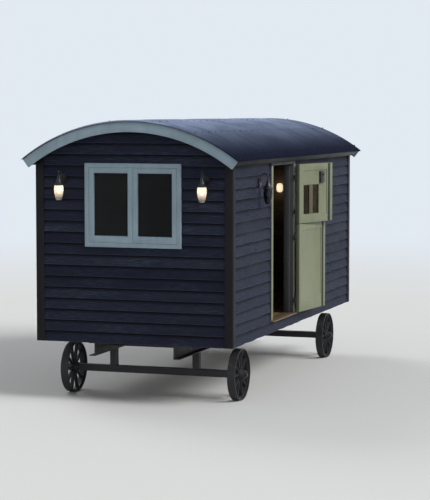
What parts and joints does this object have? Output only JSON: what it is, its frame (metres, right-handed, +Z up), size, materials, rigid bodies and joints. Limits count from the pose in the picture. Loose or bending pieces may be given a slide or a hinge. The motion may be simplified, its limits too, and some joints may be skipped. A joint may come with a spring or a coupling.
{
  "type": "shepherd's hut",
  "caption": "Timber hut on iron wheels with a barrel roof of corrugated sheets, a gable window and a two-leaf stable door that stands open.",
  "frame": {"origin": "on the ground under the middle of the body's plan, between the four wheels", "axes": "+Z up, -Y towards the window gable, +X out of the wall that holds the door"},
  "size_m": [2.6967, 5.857, 3.1408],
  "materials": {
    "cladding_paint": "matt black-blue paint on weatherboards",
    "corner_paint": "matt dark paint",
    "eave_wood": "weathered grey-brown board",
    "trim_paint": "satin pale blue-grey paint",
    "door_paint": "satin pale sage paint",
    "roof_paint": "satin dark slate-blue coating on corrugated steel",
    "lining_wood": "oiled pine boards",
    "floor_wood": "oiled oak boards",
    "joist_wood": "rough treated softwood",
    "threshold_wood": "oiled hardwood",
    "chassis_paint": "satin black paint on steel",
    "wheel_iron": "black painted casting with a worn tread",
    "hinge_iron": "black coated steel",
    "lantern_metal": "satin black coating",
    "lantern_glass": "clear glass over a warm lamp",
    "window_glass": "clear double glazing",
    "lamp_shade": "pale shade with a warm lamp inside"
  },
  "bodies": {
    "hut": {"wheel_front_left": "wheel_iron", "wheel_front_right": "wheel_iron", "wheel_back_left": "wheel_iron", "wheel_back_right": "wheel_iron", "front_axle": "chassis_paint", "back_axle": "chassis_paint", "turntable": "chassis_paint", "drawbar": "chassis_paint", "chassis_beams": "chassis_paint", "cross_members": "chassis_paint", "side_joists": "joist_wood", "floor_joists": "joist_wood", "floor_boards": "floor_wood", "front_wall": "cladding_paint", "back_wall": "cladding_paint", "left_wall": "cladding_paint", "right_wall_near": "cladding_paint", "right_wall_far": "cladding_paint", "right_wall_over_door": "cladding_paint", "corner_boards": "corner_paint", "eave_boards": "eave_wood", "front_bargeboard": "trim_paint", "back_bargeboard": "trim_paint", "roof_boards": "lining_wood", "roof_sheets_under": "roof_paint", "roof_sheets_over": "roof_paint", "window_frame": "trim_paint", "left_casement": "trim_paint", "right_casement": "trim_paint", "window_glass": "window_glass", "door_jambs": "door_paint", "door_head": "door_paint", "threshold": "threshold_wood", "hinge_pins": "hinge_iron", "lantern_front_left": "lantern_metal", "lantern_front_right": "lantern_metal", "lantern_side": "lantern_metal", "lantern_glasses": "lantern_glass", "room_lamp": "lamp_shade"},
    "upper_leaf": {"upper_leaf": "door_paint", "upper_leaf_glass": "window_glass", "upper_leaf_bolt": "hinge_iron", "upper_leaf_hinges": "hinge_iron"},
    "lower_leaf": {"lower_leaf": "door_paint", "lower_leaf_hinges": "hinge_iron"}
  },
  "joints": [
    {"name": "upper_leaf_swing", "type": "hinge", "parent": "hut", "child": "upper_leaf", "pos_m": [1.174, -0.195, 2.244], "axis": [0, 0, 1], "range_deg": [-167, 0]},
    {"name": "lower_leaf_swing", "type": "hinge", "parent": "hut", "child": "lower_leaf", "pos_m": [1.174, -0.195, 1.351], "axis": [0, 0, 1], "range_deg": [-173.5, 0]}
  ]
}
